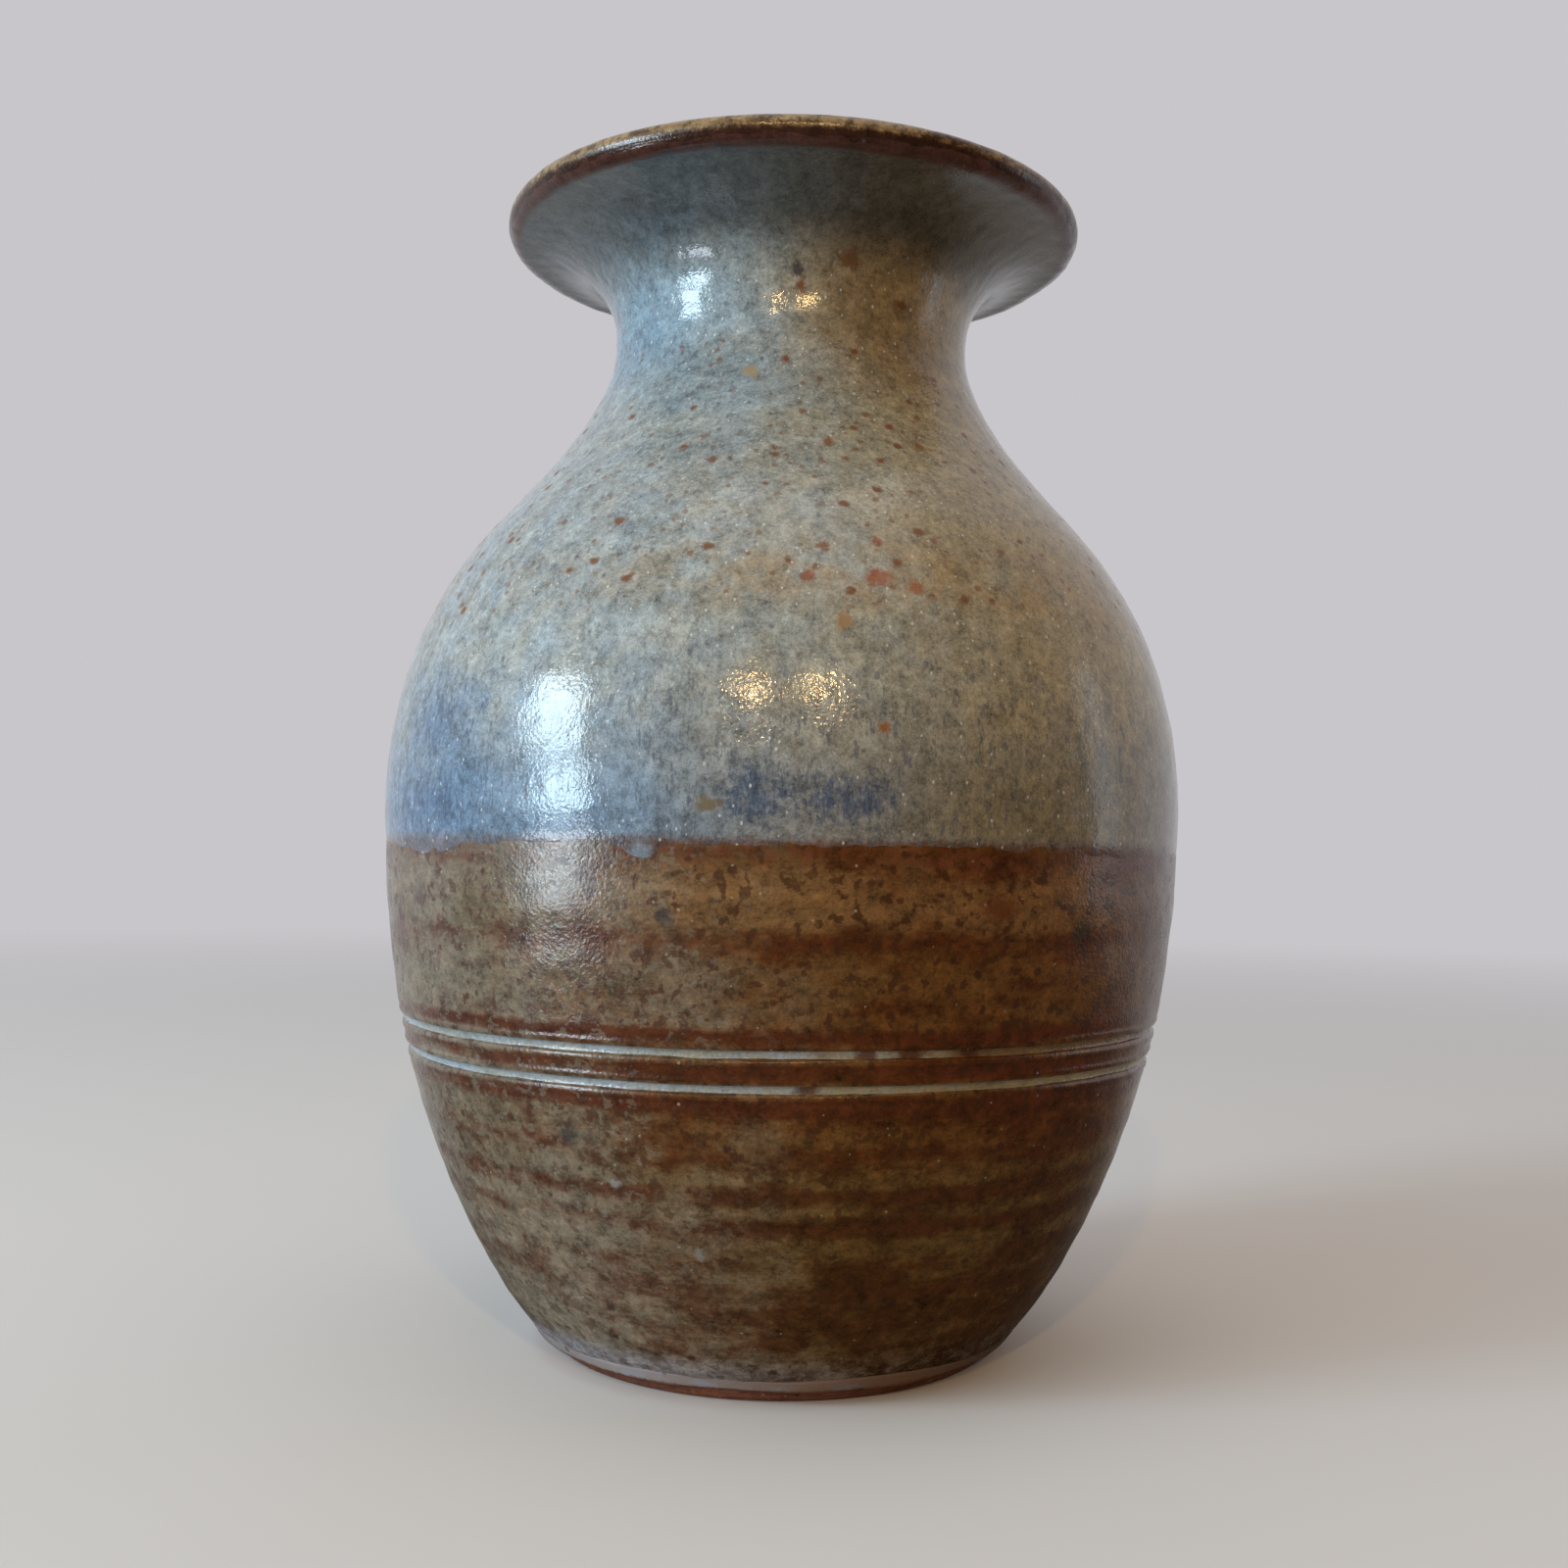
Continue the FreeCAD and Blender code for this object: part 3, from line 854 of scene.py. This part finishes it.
def brown_specks(m, colour, grain, blotch, side):
    """Grain, dark spots, pale flecks, tiny pale specks partly painted as glints, and single marks. Returns
    the dark spots too.
    """
    colour = m.vary(colour, grain, 0.4, 1.6)
    spots = m.step(m.noise(1.1, 3, seed=61, rough=0.5), 0.57, 0.62)
    amount = m.plus(m.gain(blotch, 0.8), m.step(m.z, 16, 32, 0.25), 0.10)
    colour = m.mix(m.both(spots, amount), colour, m.mix(side, rgb(76, 46, 34), rgb(64, 36, 14)))
    flecks = m.step(m.noise(0.9, 2, stretch=(1.3, 1.3, 1), seed=67, rough=0.7), 0.57, 0.62)
    flecks = m.both(flecks, m.step(side, 0.9, 0.3, 0.35), m.step(m.z, 112, 110))
    colour = m.mix(flecks, colour, rgb(130, 126, 112))
    colour = m.mix(m.specks(2.0, 0.5, 0.16, 63, (1.2, 1.2, 1), 0.7), colour, rgb(60, 32, 22))
    # tiny pale specks: partly the glaze's own flecks, partly painted glints
    colour = m.mix(m.specks(1.1, 0.18, 0.10, 65, top=0.5), colour, rgb(176, 170, 150))
    return m.marked(colour, 0.7, BROWN_MARKS), spots


def brown_glaze():
    m = Shade("brown_mottled_glaze")
    grain = m.noise(1.9, 5, stretch=(1.25, 1.25, 1), seed=51, rough=0.9)
    streak = m.noise(2.0, 3, stretch=(8, 8, 1), seed=52, rough=0.65)
    blotch = m.noise(4.5, 4, stretch=(1.6, 1.6, 1), seed=53, rough=0.75)
    large = m.noise(16, 2, seed=54)
    side = m.warm_lamplit_side(-42, 14, m.plus(m.gain(blotch, 0.4), m.gain(large, 0.6)))
    colour, share = brown_ground(m, grain, streak, blotch, large, side)
    colour = brown_lip(m, colour, grain, streak)
    colour = brown_low(m, colour, grain, blotch, side, share)
    colour, spots = brown_specks(m, colour, grain, blotch, side)
    rough = m.plus(0.15, m.gain(blotch, 0.14), m.gain(spots, 0.06))
    return m.finish(colour, rough, m.pitting(81, 0.2, 0.3), m.gain(streak, 0.15))


def pale_pool():
    m = Shade("pale_pooled_glaze")
    cloud = m.noise(3.5, 4, stretch=(2, 2, 1), seed=91, rough=0.8)
    broken = m.noise(0.8, 3, stretch=(2.2, 2.2, 1), seed=93, rough=0.8)
    colour = m.mix(m.step(cloud, 0.35, 0.65), rgb(158, 168, 180), rgb(152, 156, 152))
    colour = m.mix(m.step(broken, 0.52, 0.62, 0.5), colour, rgb(98, 86, 78))
    side = m.warm_lamplit_side(-20, 30, cloud)
    # warm right: partly the glaze's colour, partly painted warm lamp light
    colour = m.mix(m.gain(side, 0.8), colour, rgb(148, 134, 98))
    upper = m.both(m.step(m.z, 31.8, 32.0), m.warm_lamplit_side(8, 26, cloud))
    colour = m.mix(m.gain(upper, 0.8), colour, rgb(108, 80, 46))
    for az, z in ((11, 33.3), (17, 33.3), (4, 30.4), (25, 33.6)):
        colour = m.mix(m.blob(az, z, 1.9, 1.4, 0.8, 0.85), colour, rgb(80, 44, 24))
    colour = m.vary(colour, broken, 0.72, 1.28)
    rough = m.plus(0.16, m.gain(cloud, 0.12))
    return m.finish(colour, rough, m.pitting(95, 0.2, 0.5), distance=0.00014)


def foot_bead_glaze():
    m = Shade("pale_bead_glaze")
    cloud = m.noise(4, 4, stretch=(1.6, 1.6, 1), seed=101, rough=0.8)
    colour = m.mix(m.step(cloud, 0.35, 0.62), rgb(172, 168, 180), rgb(146, 136, 132))
    high = m.step(m.plus(m.z, m.gain(cloud, 2.4)), 3.1, 4.2)
    colour = m.mix(high, colour, rgb(150, 140, 142))
    # warm right: partly the glaze's colour, partly painted warm lamp light
    colour = m.mix(m.gain(m.warm_lamplit_side(-30, 30, cloud), 0.85), colour, rgb(112, 82, 54))
    low = m.step(m.plus(m.z, m.gain(m.ragged, 0.6)), 2.15, 1.8, 0.9)
    colour = m.mix(low, colour, rgb(112, 70, 48))
    colour = m.mix(m.specks(2.0, 0.4, 0.16, 103, top=0.7), colour, rgb(80, 48, 34))
    colour = m.vary(colour, cloud, 0.75, 1.25)
    return m.finish(colour, m.plus(0.18, m.gain(cloud, 0.12)), m.pitting(105), distance=0.0001)


def liner_glaze():
    m = Shade("brown_liner_glaze")
    cloud = m.noise(7, 5, seed=111, rough=0.8)
    streak = m.noise(3, 3, stretch=(1, 1, 5), seed=112)
    dark, light = rgb(88, 58, 34), rgb(114, 86, 56)
    colour = m.mix(m.step(m.plus(cloud, m.gain(streak, 0.5)), 0.58, 0.92), light, dark)
    rim = m.both(m.step(m.z, 112.0, 115.4), m.plus(m.gain(cloud, 0.6), 0.4))
    colour = m.mix(rim, colour, rgb(130, 104, 68))
    colour = m.vary(colour, cloud, 0.65, 1.35)
    colour = m.mix(m.specks(2.0, 0.4, 0.16, 114, top=0.75), colour, rgb(54, 32, 22))
    colour = m.mix(m.specks(1.1, 0.25, 0.12, 115, top=0.5), colour, rgb(168, 156, 130))
    rough = m.plus(0.17, m.gain(cloud, 0.12))
    return m.finish(colour, rough, m.pitting(116), distance=0.00012)


def bare_clay():
    m = Shade("bare_red_stoneware")
    cloud = m.noise(5, 3, seed=122)
    drag = m.noise(0.5, 2, stretch=(16, 16, 1), seed=123)
    colour = m.mix(m.step(cloud, 0.35, 0.65), rgb(134, 78, 54), rgb(112, 62, 42))
    colour = m.vary(colour, m.ragged, 0.72, 1.28)
    grog = m.specks(1.0, 0.3, 0.16, 124)
    colour = m.mix(m.gain(grog, 0.6), colour, rgb(172, 126, 96))
    colour = m.mix(m.specks(2.2, 0.3, 0.10, 126, top=0.8), colour, rgb(52, 34, 28))
    rough = m.plus(0.7, m.gain(m.ragged, 0.2))
    return m.finish(
        colour, rough, m.gain(m.ragged, 0.7), m.gain(drag, 0.5), m.gain(grog, 0.3),
        distance=0.0002,
    )


# ---------------------------------------------------------------- pieces

def add(piece, node, material):
    piece.data.materials.append(material)
    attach(piece, "root")
    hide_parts(node)


pool_material = pale_pool()
add(build_clay(), "clay_body", bare_clay())
add(build_brown(), "base_glaze", brown_glaze())
add(build_blue(), "top_glaze", blue_glaze())
add(build_liner(), "liner_glaze", liner_glaze())
add(build_foot_bead(), "foot_glaze_roll", foot_bead_glaze())
for k, (node, height) in enumerate(GROOVES.items()):
    piece = build_pool(node.replace("glaze", "pool"), height, 60 + 2 * k)
    add(piece, node, pool_material)


# ---------------------------------------------------------------- stage, light, camera

LOW, HIGH = (Vector(corner) for corner in CAD_BOX)
FOOT = Vector(((LOW.x + HIGH.x) / 2, (LOW.y + HIGH.y) / 2, LOW.z))
MIDDLE_HEIGHT = 0.058
BACKDROP = rgb(200, 198, 202)
FLOOR_SPOKES = 96
FLOOR_RADII = np.geomspace(0.02, 3.0, 40)


def floor_mesh():
    """A flat disc whose rings are closer together near the vase."""
    n = FLOOR_SPOKES
    turns = 2 * math.pi * np.arange(n) / n
    verts = [(0, 0, 0)]
    for r in FLOOR_RADII:
        verts += [(r * math.cos(t), r * math.sin(t), 0) for t in turns]
    faces = [(0, 1 + j, 1 + (j + 1) % n) for j in range(n)]
    for base in range(1 + n, len(verts), n):
        for j in range(n):
            k = (j + 1) % n
            faces.append((base - n + j, base + j, base + k, base - n + k))
    data = bpy.data.meshes.new("floor")
    data.from_pydata(verts, [], faces)
    return data


def floor():
    """A wide pale floor that fades into the backdrop's tone away from the vase.

    The camera sees it pale. Bounced light and reflections find it darker, most of all in
    front of the vase, because the glaze in the photograph mirrors a dim room.
    """
    mat = bpy.data.materials.new("pale_floor")
    mat.use_nodes = True
    m = Tree(mat.node_tree)
    shader = m.nodes["Principled BSDF"]
    shader.inputs["Roughness"].default_value = 0.85
    ray = m.new("LightPath")
    place = m.new("TexCoord").outputs["Object"]
    length = m.new("VectorMath")
    length.operation = "LENGTH"
    m.feed(length.inputs[0], place)
    behind = m.step(m.xyz(place)[1], -0.01, 0.12)
    mirrored = m.mix(behind, (0.07, 0.05, 0.035, 1), (0.74, 0.73, 0.74, 1))
    unseen = m.mix(ray.outputs["Is Glossy Ray"], (0.50, 0.45, 0.42, 1), mirrored)
    colour = m.mix(ray.outputs["Is Camera Ray"], unseen, (0.76, 0.75, 0.76, 1))
    m.feed(shader.inputs["Base Color"], colour)
    clear = m.new("BsdfTransparent").outputs[0]
    fade = m.step(length.outputs["Value"], 0.12, 0.9)
    surface = m.mix_shaders(fade, shader.outputs[0], clear)
    m.feed(m.nodes["Material Output"].inputs["Surface"], surface)
    data = floor_mesh()
    data.materials.append(mat)
    obj = bpy.data.objects.new("floor", data)
    bpy.context.scene.collection.objects.link(obj)


def world():
    """Pale backdrop for the camera; for lighting, a dimmer room, paler behind the vase."""
    studio = bpy.data.worlds.new("studio")
    bpy.context.scene.world = studio
    studio.use_nodes = True
    m = Tree(studio.node_tree)
    m.nodes.clear()
    ray = m.new("LightPath")
    behind = m.step(m.xyz(m.new("TexCoord").outputs["Generated"])[1], -0.35, 0.45)
    soft = m.mix(behind, (0.17, 0.14, 0.11, 1), (0.46, 0.46, 0.48, 1))
    mirrored = m.mix(behind, (0.043, 0.028, 0.017, 1), (0.60, 0.60, 0.63, 1))
    lit, seen = m.new("Background"), m.new("Background")
    m.feed(lit.inputs[0], m.mix(ray.outputs["Is Glossy Ray"], soft, mirrored))
    m.feed(seen.inputs[0], BACKDROP)
    surface = m.mix_shaders(ray.outputs["Is Camera Ray"], lit.outputs[0], seen.outputs[0])
    m.feed(m.new("OutputWorld").inputs[0], surface)


def softbox(name, azimuth, elevation, distance, width, height, power, colour):
    """Area light aimed at the middle of the vase. Azimuth 0 is the camera's side."""
    data = bpy.data.lights.new(name, "AREA")
    data.shape = "RECTANGLE"
    data.size = width
    data.size_y = height
    data.energy = power
    data.color = colour
    lamp = bpy.data.objects.new(name, data)
    target = FOOT + Vector((0, 0, MIDDLE_HEIGHT))
    a, e = math.radians(azimuth), math.radians(elevation)
    away = Vector((math.sin(a) * math.cos(e), -math.cos(a) * math.cos(e), math.sin(e)))
    lamp.location = target + away * distance
    lamp.rotation_euler = away.to_track_quat("Z", "Y").to_euler()
    lamp.visible_camera = False
    bpy.context.scene.collection.objects.link(lamp)
    return lamp


def camera():
    """Hand-held phone view: close, at two fifths of the vase's height, tipped slightly up."""
    eye, tipped_up, roll = Vector((0.00024, -0.1747, 0.0502)), 2.28, 0.92
    data = bpy.data.cameras.new("camera")
    data.sensor_width = 36.0
    data.lens = 37.96
    data.clip_start = 0.01
    cam = bpy.data.objects.new("camera", data)
    pitch = Matrix.Rotation(math.radians(90 + tipped_up), 4, "X")
    cam.matrix_world = Matrix.Translation(FOOT + eye) @ pitch @ Matrix.Rotation(math.radians(roll), 4, "Z")
    bpy.context.scene.collection.objects.link(cam)
    bpy.context.scene.camera = cam


floor()
world()
# name, azimuth, elevation (degrees), distance, width, height (metres), power, colour
softbox("window_upper", -66, 18.0, 1.0, 0.28, 0.25, 4.2, (0.70, 0.90, 1.0))
softbox("window_lower", -61, 3.2, 1.0, 0.25, 0.15, 2.7, (0.66, 0.88, 1.0))
softbox("window_glow", -62, 22, 1.6, 1.6, 1.4, 9.6, (0.74, 0.90, 1.0))
sill = softbox("window_sill", -57, -9.6, 0.235, 0.07, 0.026, 0.08, (0.78, 0.89, 1.0))
sill.visible_diffuse = False
softbox("lamp_left", -9, 25, 0.9, 0.022, 0.022, 1.0, (1.0, 0.64, 0.28))
softbox("lamp_right", 10, 25, 0.9, 0.022, 0.022, 1.0, (1.0, 0.64, 0.28))
softbox("ceiling", 25, 74, 1.1, 0.9, 0.9, 2.2, (1.0, 0.90, 0.78))
softbox("side", 98, 8, 0.9, 0.16, 0.5, 0.25, (0.85, 0.92, 1.0))
camera()
bpy.context.scene.view_settings.view_transform = "Standard"
